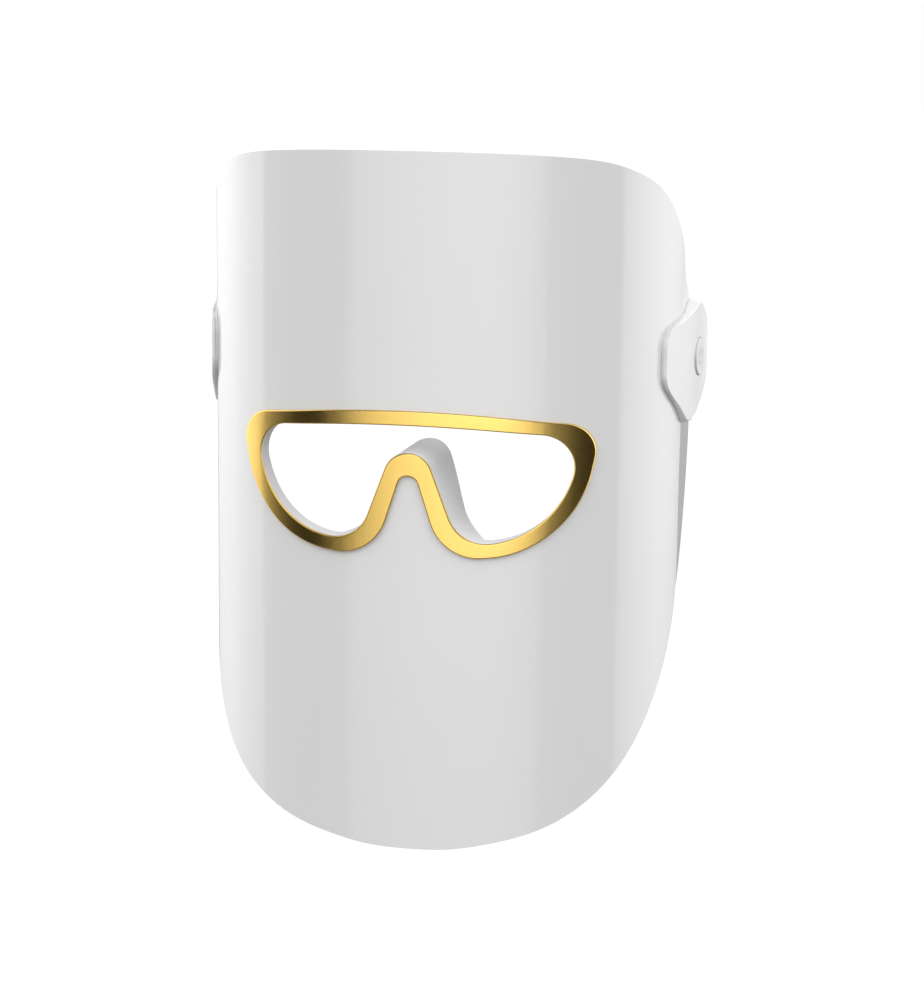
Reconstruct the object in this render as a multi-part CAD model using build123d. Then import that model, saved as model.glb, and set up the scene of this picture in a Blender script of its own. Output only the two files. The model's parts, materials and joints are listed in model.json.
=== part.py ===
from build123d import *
from math import sin, cos, radians, degrees, sqrt
import os

os.makedirs("parts", exist_ok=True)

# Frame of the model, in millimetres: the wearer looks along -Y, +X is the wearer's left,
# +Z is up. The origin is in the middle of the face opening, in the plane of the shield's
# straight rear ends, a little below the eyes.

# Plan of the shield: three tangent arcs on each side and a straight end
front_radius = 184.0
cheek_radius = 75.0
side_radius = 57.0
front_angle = 8.8
cheek_angle = 34.4
side_run = 6.7

# Height of the shield above and below the origin
brow_height = 123.2
chin_drop = 116.0

# Layers of the shield, measured inward from its outer face
cover_wall = 2.0
fit_gap = 0.1
moving_gap = 0.3
board_thickness = 0.8
frame_depth = 6.2
ledge_depth = 4.6
panel_gap = 0.1

# Rear frame
frame_inset = 0.8
frame_wall = 2.4
ledge_width = 6.0
wing_outer = 2.5
wing_thickness = 2.1
wing_rear = 12.3
tray_wall = 1.6
cover_clearance = 0.3

# Eye opening, trim and tunnel
eye_top = 32.3
trim_top = 37.7
trim_rise = 1.2
tunnel_wall = 1.6
tunnel_depth = 6.9
tunnel_flange = 3.4
tunnel_flange_thickness = 1.2
nose_depth = 33.0
saddle_half_width = 26.0
saddle_top = 27.5
saddle_bottom = -9.0

# Nose pad
nose_pad_thickness = 2.5
nose_pad_front = -50.0
nose_pad_half_width = 18.0
nose_pad_bottom = -2.0

# Forehead pad
brow_pad_thickness = 4.0
brow_pad_half_width = 42.0
brow_pad_height = 15.0
brow_pad_top = 111.0
brow_pad_corner = 7.0

# Light boards and their lamps
board_inset = 10.0
board_rear = -27.0
board_eye_margin = 5.0
lamp_eye_margin = 2.5
brow_board_bottom = 43.0
cheek_board_top = -16.0
cheek_board_front = 23.0
chin_board_half_width = 19.0
chin_board_top = -22.0
lamp_size = 3.0
lamp_height = 0.8
lamp_seat = 0.03
lamp_pitch = 12.5
lamp_margin = 4.0
cable_thickness = 0.3
link_cable_width = 7.0
link_cable_angle = 57.0
pod_cable_width = 9.0

# Pods on the temples
pod_middle_height = 49.9
pod_front = -29.8
pod_rear = 30.0
pod_low = 26.4
pod_high = 71.5
pod_corner = 8.0
pod_rise = 4.65
pod_flat_place = 14.0
pod_face_radius = 136.0
pod_taper = 18.0
pod_taper_start = 83.0
pod_wall = 1.6
pod_edge_wall = 3.4
pod_seat_gap = 0.05
shadow_gap_height = 1.1
shadow_gap_depth = 0.5
notch_margin = 3.0
notch_rear_margin = 10.0
pod_boss_place = 9.3
pod_boss_high = 61.0
pod_boss_low = 38.0
pod_boss_diameter = 4.2

# Driver board, switch, button and charging socket in the left pod
control_board_margin = 5.5
control_board_front = -17.0
control_board_rear = 6.5
control_board_lift = 0.4
control_board_thickness = 1.0
post_diameter = 3.0
post_spread = 8.0
chip_height = 0.9
chip_size = 4.0
button_place = 3.0
button_diameter = 13.0
button_proud = 0.5
button_flange_width = 1.2
button_flange_thickness = 0.5
button_flange_gap = 0.4
button_travel = 0.6
plunger_diameter = 3.0
switch_size = 6.0
switch_clearance = 0.15
socket_width = 8.94
socket_height = 3.26
socket_depth = 7.3
socket_shell = 0.4
socket_bore_depth = 6.2
socket_place = -3.0
socket_bottom = 29.4
socket_tongue_width = 6.7
socket_tongue_thickness = 0.7

# Battery in the right pod
battery_thickness = 3.0
battery_width = 14.0
battery_height = 27.0
battery_low = 36.5
battery_rear = 6.5
foam_margin = 2.0

# Hinge and temple arms
hinge_inset = 4.35
hinge_place = 19.0
hinge_height = 50.5
knuckle_radius = 4.0
knuckle_height = 11.0
washer_thickness = 0.5
washer_radius = 3.4
pin_diameter = 2.5
pin_clearance = 0.1
pin_head_radius = 2.0
pin_head_height = 0.6
fork_thickness = 2.0
fork_edge = 0.3
web_front = 12.6
web_thickness = 2.4
bracket_tab_length = 10.0
bracket_tab_thickness = 2.0
bracket_tab_height = 16.0
arm_radius = 260.0
arm_length = 75.0
arm_outer = 2.5
arm_inner = 1.2
arm_core_thickness = 0.8
arm_core_inset = 3.2
arm_pad_thickness = 2.0
arm_pad_inset = 1.0
arm_pad_start = 33.0
arm_tip_high = 42.0
arm_tip_low = 28.0
arm_tip_corner = 6.0
arm_neck_corner = 1.5
arm_bend_radius = 40.0

# Screws
screw_head_diameter = 3.4
screw_head_height = 0.8
screw_diameter = 1.6
screw_length = 3.4
screw_clearance = 0.15
screw_seat = 0.05
bracket_screw_diameter = 1.8
bracket_screw_length = 3.6
pod_screw_length = 5.0

# Every cut runs past the face that it opens by this much
overrun = 40.0

# Outline of the shield, seen at 45 degrees: (place from the middle to the side, height)
outline_shares = [
    (0.0, 1.0), (0.20, 0.998), (0.403, 0.989), (0.535, 0.974), (0.650, 0.945), (0.747, 0.906),
    (0.863, 0.812), (0.935, 0.704), (0.968, 0.628), (1.010, 0.587), (1.014, 0.545),
    (0.980, 0.497), (0.962, 0.450), (0.953, 0.370), (0.936, 0.200), (0.932, -0.100),
    (0.918, -0.300), (0.867, -0.432), (0.775, -0.582), (0.596, -0.781), (0.456, -0.878),
    (0.312, -0.942), (0.166, -0.982), (0.0, -1.0),
]
# Right half of the eye opening: corners as shares of its top height, with their radii
eye_corner_shares = [(0.0, 1.031), (1.811, 0.890), (1.486, -0.147), (0.552, -0.268), (0.186, 0.700)]
eye_radius_shares = [14.0, 0.350, 0.957, 0.402, 0.258]
trim_corner_shares = [(0.0, 1.032), (1.679, 0.860), (1.464, -0.254), (0.318, -0.366), (0.070, 0.392)]
trim_radius_shares = [10.1, 0.265, 0.970, 0.450, 0.093]
# Rear edge of the saddle in plan: (share of its half width, share of its depth)
saddle_shares = [(0.0, 1.0), (0.35, 0.91), (0.5, 0.77), (0.67, 0.61), (0.81, 0.46), (1.0, 0.14)]
# Corners of the pod, seen from the side: (place from front to rear, height from low to high)
pod_corner_shares = [
    (0.0, 0.381), (0.0, 0.780), (0.582, 1.0), (0.900, 0.796), (1.0, 0.501), (0.933, 0.293),
    (0.515, 0.058), (0.340, 0.0),
]
# Rear edge of the wing below the pod: (share of the wing's reach, height from pod to low end)
wing_reach = 29.5
wing_low = -43.0
wing_front = -24.0
wing_shares = [
    (0.86, -0.05), (0.965, 0.0), (1.0, 0.075), (0.96, 0.2), (0.885, 0.33), (0.78, 0.46),
    (0.64, 0.605), (0.46, 0.745), (0.25, 0.86), (-0.07, 0.945), (-0.41, 1.0),
]
# Corners of an arm, seen from the side, between the hinge and the tip
arm_upper_shares = [(0.28, 1.0)]
arm_lower_shares = [(0.55, 0.35), (0.16, 1.0)]
# Frame screws: share of the way along the outline, from top middle to chin middle
frame_screw_shares = [0.07, 0.235, 0.655, 0.80, 0.955]
# Chips of the driver board: (place from front to rear, height) as shares of the board
chip_shares = [(0.22, 0.66), (0.30, 0.36), (0.82, 0.76), (0.54, 0.72)]

# Sizes that follow from the ones above
half_width = (
    (front_radius - cheek_radius) * sin(radians(front_angle))
    + (cheek_radius - side_radius) * sin(radians(cheek_angle))
    + side_radius
)
mask_depth = (
    side_run + front_radius
    - (front_radius - cheek_radius) * cos(radians(front_angle))
    - (cheek_radius - side_radius) * cos(radians(cheek_angle))
)
front_centre = Vector(0, front_radius - mask_depth)
cheek_centre = front_centre + (front_radius - cheek_radius) * Vector(
    sin(radians(front_angle)), -cos(radians(front_angle)))
side_centre = cheek_centre + (cheek_radius - side_radius) * Vector(
    sin(radians(cheek_angle)), -cos(radians(cheek_angle)))
plan_rear = pod_rear + overrun
across_middle = -mask_depth / sqrt(2)
across_side = half_width / sqrt(2)
oblique_plane = Plane(origin=(0, 0, 0), x_dir=(1, 1, 0), z_dir=(1, -1, 0))

frame_outer = cover_wall + fit_gap
ledge_inset = frame_inset + frame_wall
ledge_end = ledge_inset + ledge_width
panel_outer = ledge_depth + panel_gap
wing_inner = wing_outer + wing_thickness
frame_screw_inset = ledge_inset + ledge_width / 2
board_outer = cover_wall
board_inner = board_outer + board_thickness
tunnel_outset = tunnel_wall + fit_gap

pod_face_x = half_width + pod_rise
pod_face_centre = Vector(pod_face_x - pod_face_radius, pod_flat_place)
wing_face_x = half_width - wing_outer
control_board_x = wing_face_x + control_board_lift
control_board_top = control_board_x + control_board_thickness
button_tilt = degrees((pod_flat_place - button_place) / pod_face_radius)
button_face = pod_face_centre + pod_face_radius * Vector(
    cos(radians(button_tilt)), -sin(radians(button_tilt)))
button_plane = Plane(
    origin=(button_face.X, button_face.Y, pod_middle_height),
    x_dir=(0, 0, 1),
    z_dir=(cos(radians(button_tilt)), -sin(radians(button_tilt)), 0),
)
# The pressed button keeps a clearance to the switch, and its plunger one to the board
flange_depth = pod_wall + button_flange_gap + button_flange_thickness
button_room = button_face.X - flange_depth * cos(radians(button_tilt)) - control_board_top
button_room -= button_travel + switch_clearance
switch_height = button_room - switch_size / 2 * sin(radians(button_tilt))
plunger_length = button_room - plunger_diameter / 2 * sin(radians(button_tilt))
hinge_x = half_width - hinge_inset
fork_height = knuckle_height / 2 + washer_thickness + pin_clearance
fork_radius = knuckle_radius + fork_edge


def plan_edges(depth):
    """Plan curve of the shield, left to right, moved inward by depth."""
    side_start = 90 - cheek_angle
    cheek_turn = cheek_angle - front_angle
    return [
        Line((depth - half_width, plan_rear), (depth - half_width, -side_run)),
        CenterArc((-side_centre.X, side_centre.Y), side_radius - depth, 180, side_start),
        CenterArc((-cheek_centre.X, cheek_centre.Y), cheek_radius - depth, 270 - cheek_angle, cheek_turn),
        CenterArc((0, front_centre.Y), front_radius - depth, 270 - front_angle, 2 * front_angle),
        CenterArc((cheek_centre.X, cheek_centre.Y), cheek_radius - depth, 270 + front_angle, cheek_turn),
        CenterArc((side_centre.X, side_centre.Y), side_radius - depth, 270 + cheek_angle, side_start),
        Line((half_width - depth, -side_run), (half_width - depth, plan_rear)),
    ]


def layer(outer, inner):
    """Sheet that follows the plan curve between two depths, taller than the shield."""
    ends = [
        Line((side * (half_width - outer), plan_rear), (side * (half_width - inner), plan_rear))
        for side in (-1, 1)
    ]
    face = make_face(Curve() + plan_edges(outer) + plan_edges(inner) + ends)
    return extrude(face, amount=brow_height + overrun, both=True)


def outline_curve():
    """Outline of the shield's right half in the oblique plane, from top to chin."""
    points = []
    for across, height in outline_shares:
        rise = brow_height if height > 0 else chin_drop
        points.append(Vector(across_middle + across * (across_side - across_middle), height * rise))
    return points, Spline(points, tangents=[(1, 0), (-1, 0)])


def outline_spot(curve, share, inset):
    """Point at a share of the outline's length, moved inward by inset."""
    along = curve.tangent_at(share)
    return curve.position_at(share) + inset * Vector(along.Y, -along.X)


def outline_face(inset):
    """Outline of the shield's right half in the oblique plane, moved inward by inset."""
    points, curve = outline_curve()
    moved = [outline_spot(curve, curve.param_at_point(point), inset) for point in points]
    back = across_middle - overrun
    closing = Polyline(moved[-1], (back, moved[-1].Y), (back, moved[0].Y), moved[0])
    return make_face(Curve() + Spline(moved, tangents=[(1, 0), (-1, 0)]) + closing)


def trim_block(inset):
    """Block with the outline of the whole shield, to cut the sheets with."""
    reach = half_width + mask_depth + overrun
    half_space = Box(reach, 2 * reach, 2 * reach, align=(Align.MIN, Align.CENTER, Align.CENTER))
    right = oblique_plane * extrude(outline_face(inset), amount=reach, both=True) & half_space
    return right + mirror(right, about=Plane.YZ)


def eye_face(corner_shares, radius_shares, top, outset):
    """Closed outline of the eye opening or of the trim, moved outward by outset."""
    right = [(x * top, z * top) for x, z in corner_shares]
    left = [(-x, z) for x, z in reversed(right[1:])]
    radii = [share * top for share in radius_shares]
    outline = FilletPolyline(*(right + left), radius=radii + radii[:0:-1], close=True)
    face = make_face(outline)
    return offset(face, amount=outset, kind=Kind.INTERSECTION) if outset else face


def eye_prism(outset):
    """The eye opening, moved outward by outset, run through the shield from front to rear."""
    face = eye_face(eye_corner_shares, eye_radius_shares, eye_top, outset)
    return extrude(Plane.XZ * face, amount=mask_depth + overrun, both=True)


def trim_prism():
    """Outer outline of the gold trim, run through the shield."""
    face = eye_face(trim_corner_shares, trim_radius_shares, trim_top, 0)
    return extrude(Plane.XZ * face, amount=mask_depth + overrun, both=True)


def angle_at(run):
    """Direction of the plan curve's normal, in degrees, at a run from the front middle."""
    front_run = front_radius * radians(front_angle)
    cheek_run = front_run + cheek_radius * radians(cheek_angle - front_angle)
    if run <= front_run:
        return degrees(run / front_radius)
    if run <= cheek_run:
        return front_angle + degrees((run - front_run) / cheek_radius)
    return cheek_angle + degrees((run - cheek_run) / side_radius)


def plan_point(angle, depth):
    """Point of the right half of the plan curve, moved inward by depth."""
    if angle <= front_angle:
        centre, radius = front_centre, front_radius
    elif angle <= cheek_angle:
        centre, radius = cheek_centre, cheek_radius
    else:
        centre, radius = side_centre, side_radius
    return centre + (radius - depth) * Vector(sin(radians(angle)), -cos(radians(angle)))


def plan_place(angle, depth, height, side=1):
    """Place on the sheet, with its own z pointing inward, square to the sheet."""
    spot = plan_point(angle, depth)
    inward = (-side * sin(radians(angle)), cos(radians(angle)), 0)
    return Plane(origin=(side * spot.X, spot.Y, height), x_dir=(0, 0, 1), z_dir=inward)


def angle_at_across(across):
    """Normal's direction where the sheet's oblique coordinate has the given value."""
    low, high = 0.0, 90.0
    for step in range(40):
        middle = (low + high) / 2
        spot = plan_point(middle, frame_depth)
        if (spot.X + spot.Y) / sqrt(2) < across:
            low = middle
        else:
            high = middle
    return low


def side_prism(face, near, far):
    """Outline drawn in the YZ plane, run along X between two distances from the middle."""
    return Pos(near, 0, 0) * extrude(Plane.YZ * face, amount=far - near)


def pod_outline(inset):
    """Side view of the pod, moved inward by inset."""
    points = [
        (pod_front + place * (pod_rear - pod_front), pod_low + height * (pod_high - pod_low))
        for place, height in pod_corner_shares
    ]
    face = make_face(FilletPolyline(*points, radius=pod_corner, close=True))
    return offset(face, amount=-inset) if inset else face


def slab(front, rear, bottom, top):
    """Rectangle of the YZ plane."""
    return Pos((front + rear) / 2, (bottom + top) / 2) * Rectangle(rear - front, top - bottom)


def box_between(corner, opposite):
    """Box between two opposite corners."""
    low, high = Vector(*corner), Vector(*opposite)
    size = high - low
    return Pos(*((low + high) * 0.5)) * Box(abs(size.X), abs(size.Y), abs(size.Z))


def both_sides(shape):
    """A shape of the left side together with its mirror image."""
    return [shape, mirror(shape, about=Plane.YZ)]


def pod_notch():
    """Window in the cover below a pod, open to the rear."""
    face = pod_outline(notch_margin)
    rearward = slab(
        pod_flat_place - pod_rise, pod_rear + overrun,
        pod_low + notch_rear_margin, pod_high - notch_rear_margin)
    return side_prism(face + rearward, half_width - overrun / 2, half_width + overrun / 2)


def screw_places():
    """Places of the frame screws along the edge of the inner panel."""
    curve = outline_curve()[1]
    places = []
    for share in frame_screw_shares:
        spot = outline_spot(curve, share, frame_screw_inset)
        angle = angle_at_across(spot.X)
        places += [plan_place(angle, frame_depth + screw_seat, spot.Y, side) for side in (1, -1)]
    return places


def screw(head_place, diameter, length):
    """Pan head screw; the place's z points out of the head."""
    head = Cylinder(screw_head_diameter / 2, screw_head_height, align=(Align.CENTER, Align.CENTER, Align.MIN))
    shank = Cylinder(diameter / 2, length, align=(Align.CENTER, Align.CENTER, Align.MAX))
    return head_place * (head + shank)


def screw_hole(head_place, diameter, length):
    """Hole for a screw's shank, open at the head."""
    return head_place * Cylinder(
        diameter / 2, length + screw_head_height, align=(Align.CENTER, Align.CENTER, Align.MAX))


def front_cover():
    cover = layer(0, cover_wall) & trim_block(0)
    cover -= eye_prism(tunnel_outset)
    for notch in both_sides(pod_notch()):
        cover -= notch
    return cover


def eye_trim():
    return (layer(-trim_rise, 0) & trim_prism()) - eye_prism(0)


def saddle_block():
    """Space behind the shield that the deep part of the tunnel may fill."""
    right = [
        (share * saddle_half_width, nose_depth * depth - mask_depth)
        for share, depth in saddle_shares
    ]
    left = [(-x, y) for x, y in reversed(right[1:])]
    rear = Spline(left + right)
    closing = Polyline(right[-1], (saddle_half_width, -mask_depth), (-saddle_half_width, -mask_depth), left[0])
    face = make_face(Curve() + rear + closing)
    return Pos(0, 0, saddle_bottom) * extrude(face, amount=saddle_top - saddle_bottom)


def eye_tunnel():
    flange = layer(frame_outer, frame_outer + tunnel_flange_thickness)
    flange &= eye_prism(tunnel_wall + tunnel_flange)
    wall = layer(0, tunnel_depth) & eye_prism(tunnel_wall)
    saddle = saddle_block() & layer(0, nose_depth + tunnel_depth) & eye_prism(tunnel_wall)
    return (flange + wall + saddle) - eye_prism(0)


def nose_pad():
    band = saddle_block() & eye_prism(tunnel_wall + nose_pad_thickness)
    span = box_between(
        (-nose_pad_half_width, nose_pad_front, nose_pad_bottom),
        (nose_pad_half_width, nose_pad_front + overrun, eye_top * eye_corner_shares[-1][1]))
    return (band - eye_prism(tunnel_wall)) & span


def pod_tray():
    """Rim and floor that the frame puts under a pod, behind the cover's rear edge."""
    rim = side_prism(pod_outline(frame_inset), half_width - wing_inner, half_width)
    rim -= side_prism(pod_outline(frame_inset + tray_wall), half_width - wing_outer, half_width + overrun)
    rim &= box_between((0, -overrun, 0), (half_width + overrun, wing_rear, brow_height))
    return rim & layer(fit_gap, wing_inner)


def wing():
    """Side plate that carries the pod and tapers to a point below it."""
    drop = pod_low - wing_low
    edge = [(wing_reach * reach, pod_low - drop * share) for reach, share in wing_shares]
    closing = Polyline(edge[-1], (wing_front, pod_low), (wing_rear, pod_low + wing_rear), edge[0])
    lower_face = make_face(Curve() + Spline(edge) + closing)
    upper_face = pod_outline(frame_inset) & slab(wing_front, wing_rear, pod_low - overrun, pod_high)
    return side_prism(upper_face + lower_face, half_width - overrun, half_width) & layer(wing_outer, wing_inner)


def board_posts():
    """Posts that carry the driver board above the wing."""
    posts = []
    for place in (control_board_front + post_diameter, control_board_rear - post_diameter / 2):
        for height in (pod_middle_height - post_spread, pod_middle_height + post_spread):
            post = Cylinder(post_diameter / 2, wing_thickness + control_board_lift)
            base = control_board_x - (wing_thickness + control_board_lift) / 2
            posts.append(Pos(base, place, height) * Rot(0, 90, 0) * post)
    return posts


def rear_frame():
    rim = layer(frame_outer, frame_depth) & (trim_block(frame_inset) - trim_block(ledge_inset))
    ledge = layer(frame_outer, ledge_depth) & (trim_block(ledge_inset - frame_wall / 2) - trim_block(ledge_end))
    frame = rim + ledge
    for notch in both_sides(pod_notch()):
        frame -= notch & layer(0, wing_outer)
    side = wing() + (pod_tray() - trim_block(-cover_clearance))
    left_side = side - socket_envelope(fit_gap, pod_low - overrun)
    for post in board_posts():
        left_side += post
    frame += left_side
    frame += mirror(side, about=Plane.YZ)
    for place in screw_places():
        frame -= place * Cylinder(screw_diameter / 2, 2 * screw_length)
    for place in bracket_screw_places() + pod_screw_places():
        hole = screw_hole(place, bracket_screw_diameter, pod_screw_length)
        for cut in both_sides(hole):
            frame -= cut
    return frame


def inner_panel():
    panel = layer(panel_outer, frame_depth) & trim_block(ledge_inset + panel_gap)
    panel -= eye_prism(tunnel_outset)
    for place in screw_places():
        panel -= place * Cylinder(screw_diameter / 2 + screw_clearance, 2 * screw_length)
    return panel


def forehead_pad():
    middle = brow_pad_top - brow_pad_height / 2
    face = RectangleRounded(2 * brow_pad_half_width, brow_pad_height, brow_pad_corner)
    block = extrude(Plane.XZ * (Pos(0, middle) * face), amount=mask_depth + overrun)
    return layer(frame_depth, frame_depth + brow_pad_thickness) & block


def frame_screws():
    return [screw(place, screw_diameter, screw_length) for place in screw_places()]


def board_sheet(margin, eye_margin):
    """Sheet of the light boards, before it is cut into four, with its edges drawn in."""
    sheet = layer(board_outer, board_inner) & trim_block(board_inset + margin)
    return sheet - eye_prism(board_eye_margin + eye_margin)


def board_zone(name, margin):
    """Box that holds one light board; margin draws its sides in."""
    wide = half_width + overrun
    front = -mask_depth - overrun
    rear = board_rear - margin
    if name == "forehead":
        return box_between((-wide, front, brow_board_bottom + margin), (wide, rear, brow_height))
    if name == "cheek_left":
        return box_between(
            (cheek_board_front + margin, front, -chin_drop), (wide, rear, cheek_board_top - margin))
    if name == "cheek_right":
        return box_between(
            (-cheek_board_front - margin, front, -chin_drop), (-wide, rear, cheek_board_top - margin))
    return box_between(
        (margin - chin_board_half_width, front, -chin_drop),
        (chin_board_half_width - margin, rear, chin_board_top - margin))


def lamps(zone):
    """Lamps in rows on the inner face of a board, wherever the zone holds their middle."""
    found = []
    rows = int((brow_height + chin_drop) / lamp_pitch)
    columns = int(2 * mask_depth / lamp_pitch)
    for row in range(rows):
        height = brow_height - board_inset - lamp_margin - row * lamp_pitch
        for column in range(-columns, columns + 1):
            run = (abs(column) + (row % 2) / 2) * lamp_pitch
            side = -1 if column < 0 else 1
            if row % 2 == 0 and column == 0:
                side = 1
            if run > side_radius * 2:
                continue
            angle = angle_at(run)
            middle = plan_place(angle, board_outer + board_thickness / 2, height, side)
            if not zone.is_inside(middle.origin):
                continue
            seat = plan_place(angle, board_inner + lamp_seat, height, side)
            found.append(seat * Box(lamp_size, lamp_size, lamp_height, align=(
                Align.CENTER, Align.CENTER, Align.MIN)))
    return found


def link_cable():
    """Flat cable beside the eye, from the forehead board to the cheek board."""
    spot = plan_point(link_cable_angle, cover_wall)
    strip = box_between(
        (0, spot.Y - link_cable_width / 2, cheek_board_top),
        (half_width, spot.Y + link_cable_width / 2, brow_board_bottom))
    return strip & layer(cover_wall, cover_wall + cable_thickness)


def pod_cable():
    """Flat cable from the forehead board into the pod."""
    strip = box_between(
        (0, board_rear, pod_middle_height - pod_cable_width / 2),
        (half_width, control_board_front + pod_cable_width, pod_middle_height + pod_cable_width / 2))
    return strip & layer(wing_outer - cable_thickness, wing_outer)


def pod_shell():
    """Pod cover before its openings: a dish that opens toward the wearer."""
    straight = side_prism(pod_outline(0), half_width - overrun, pod_taper_start)
    tapered = Pos(pod_taper_start, 0, 0) * extrude(
        Plane.YZ * pod_outline(0), amount=pod_rise + pod_wall + pod_wall, taper=pod_taper)
    tall = 2 * brow_height
    centre = Pos(pod_face_centre.X, pod_face_centre.Y, 0)
    solid = (straight + tapered) & (centre * Cylinder(pod_face_radius, tall))
    hollow = side_prism(pod_outline(pod_edge_wall), half_width - overrun, half_width + overrun)
    hollow &= centre * Cylinder(pod_face_radius - pod_wall, tall)
    outside = layer(-overrun / 2, -pod_seat_gap)
    inset = side_prism(pod_outline(shadow_gap_depth), half_width - overrun, half_width + overrun)
    return (solid - hollow) & outside - (layer(-shadow_gap_height, 0) - inset)


def pod_bosses():
    """Bosses inside the pod cover that its screws bite into."""
    bosses = []
    for height in (pod_boss_low, pod_boss_high):
        long = pod_face_x - pod_wall / 2 - wing_face_x - pod_seat_gap
        boss = Cylinder(pod_boss_diameter / 2, long, align=(Align.CENTER, Align.CENTER, Align.MIN))
        boss -= Cylinder(bracket_screw_diameter / 2, 2 * pod_screw_length - 2 * wing_thickness)
        bosses.append(Pos(wing_face_x + pod_seat_gap, pod_boss_place, height) * Rot(0, 90, 0) * boss)
    return bosses


def pod_cover():
    cover = pod_shell()
    for boss in pod_bosses():
        cover += boss
    return cover


def pod_cover_left():
    cover = pod_cover()
    hole = Cylinder(button_diameter / 2 + moving_gap, 2 * pod_edge_wall)
    cover -= button_plane * hole
    return cover - socket_envelope(fit_gap, pod_low - overrun)


def pod_screw_places():
    """Heads of the pod's screws, on the wearer's side of the wing."""
    places = []
    for height in (pod_boss_low, pod_boss_high):
        places.append(Plane(
            origin=(half_width - wing_inner, pod_boss_place, height), x_dir=(0, 0, 1), z_dir=(-1, 0, 0)))
    return places


def pod_screws():
    return [screw(place, bracket_screw_diameter, pod_screw_length) for place in pod_screw_places()]


def bracket_screw_places():
    """Heads of the bracket's screws, on the wearer's side of its tab."""
    places = []
    for side in (-1, 1):
        places.append(Plane(
            origin=(half_width - wing_inner - bracket_tab_thickness,
                    web_front - bracket_tab_length / 2,
                    hinge_height + side * bracket_tab_height / 4),
            x_dir=(0, 0, 1), z_dir=(-1, 0, 0)))
    return places


def bracket_screws():
    return [screw(place, bracket_screw_diameter, bracket_screw_length) for place in bracket_screw_places()]


def socket_envelope(gap, bottom):
    """Room that the charging socket takes, from a height up to its rear end."""
    outline = SlotOverall(socket_width + 2 * gap, socket_height + 2 * gap, rotation=90)
    x = control_board_top + socket_height / 2
    return Pos(x, socket_place, bottom) * extrude(outline, amount=socket_bottom + socket_depth - bottom)


def usb_socket():
    socket = socket_envelope(0, socket_bottom)
    bore = SlotOverall(socket_width - 2 * socket_shell, socket_height - 2 * socket_shell, rotation=90)
    x = control_board_top + socket_height / 2
    socket -= Pos(x, socket_place, socket_bottom) * extrude(bore, amount=socket_bore_depth)
    tongue = box_between(
        (x - socket_tongue_thickness / 2, socket_place - socket_tongue_width / 2, socket_bottom + socket_shell),
        (x + socket_tongue_thickness / 2, socket_place + socket_tongue_width / 2,
         socket_bottom + socket_bore_depth))
    return socket + tongue


def control_board():
    face = pod_outline(control_board_margin)
    face &= slab(control_board_front, control_board_rear, pod_low, pod_high)
    return side_prism(face, control_board_x, control_board_top)


def control_chips():
    chips = []
    long = control_board_rear - control_board_front
    tall = pod_high - pod_low
    for place, height in chip_shares:
        y = control_board_front + place * long
        z = pod_low + height * tall
        middle = Pos(control_board_top + chip_height / 2, y, z)
        chips.append(middle * Box(chip_height, chip_size, chip_size))
    return chips


def switch_housing():
    housing = Pos(control_board_top + switch_height / 2, button_place, pod_middle_height) * Box(
        switch_height, switch_size, switch_size)
    return housing - button_plane * Cylinder(plunger_diameter / 2 + moving_gap, overrun)


def switch_plunger():
    plunger = Cylinder(plunger_diameter / 2, plunger_length, align=(Align.CENTER, Align.CENTER, Align.MAX))
    return button_plane * Pos(0, 0, -flange_depth) * plunger


def power_button():
    cap_depth = flange_depth - button_flange_thickness
    cap = Pos(0, 0, -cap_depth) * Cylinder(
        button_diameter / 2, cap_depth + button_proud, align=(Align.CENTER, Align.CENTER, Align.MIN))
    flange = Pos(0, 0, -cap_depth) * Cylinder(
        button_diameter / 2 + button_flange_width, button_flange_thickness,
        align=(Align.CENTER, Align.CENTER, Align.MAX))
    return button_plane * (cap + flange)


def battery_cell():
    return box_between(
        (control_board_x, battery_rear - battery_width, battery_low),
        (control_board_x + battery_thickness, battery_rear, battery_low + battery_height))


def battery_foam():
    """Foam tape between the wing and the battery."""
    return box_between(
        (wing_face_x, -side_run, battery_low + foam_margin),
        (control_board_x, battery_rear, battery_low + battery_height - foam_margin))


def hinge_bracket():
    centre = Pos(hinge_x, hinge_place, 0)
    tall = 2 * (fork_height + fork_thickness)
    tab_x = half_width - wing_inner
    rear = web_front + web_thickness
    web = box_between(
        (tab_x - bracket_tab_thickness, web_front, hinge_height - tall / 2),
        (half_width - pod_seat_gap, rear, hinge_height + tall / 2))
    tab = box_between(
        (tab_x - bracket_tab_thickness, web_front - bracket_tab_length, hinge_height - bracket_tab_height / 2),
        (tab_x, rear, hinge_height + bracket_tab_height / 2))
    bracket = web + tab
    for side in (-1, 1):
        middle = hinge_height + side * (fork_height + fork_thickness / 2)
        round_end = centre * Pos(0, 0, middle) * Cylinder(fork_radius, fork_thickness)
        cheek = Pos(hinge_x, (rear + hinge_place) / 2, middle) * Box(
            2 * fork_radius, hinge_place - rear, fork_thickness)
        bracket += round_end + cheek
    bracket -= centre * Cylinder(pin_diameter / 2, 4 * brow_height)
    for place in bracket_screw_places():
        bracket -= screw_hole(place, bracket_screw_diameter, bracket_screw_length)
    return bracket


def hinge_pin():
    reach = fork_height + fork_thickness
    shaft = Cylinder(pin_diameter / 2, 2 * reach)
    heads = [
        Pos(0, 0, side * (reach + pin_head_height / 2)) * Cylinder(pin_head_radius, pin_head_height)
        for side in (-1, 1)
    ]
    return Pos(hinge_x, hinge_place, hinge_height) * (shaft + heads[0] + heads[1])


def hinge_washers():
    washers = []
    for side in (-1, 1):
        middle = hinge_height + side * (knuckle_height + washer_thickness + pin_clearance) / 2
        ring = Cylinder(washer_radius, washer_thickness) - Cylinder(pin_diameter / 2, washer_thickness)
        washers.append(Pos(hinge_x, hinge_place, middle + side * pin_clearance / 2) * ring)
    return washers


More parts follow.
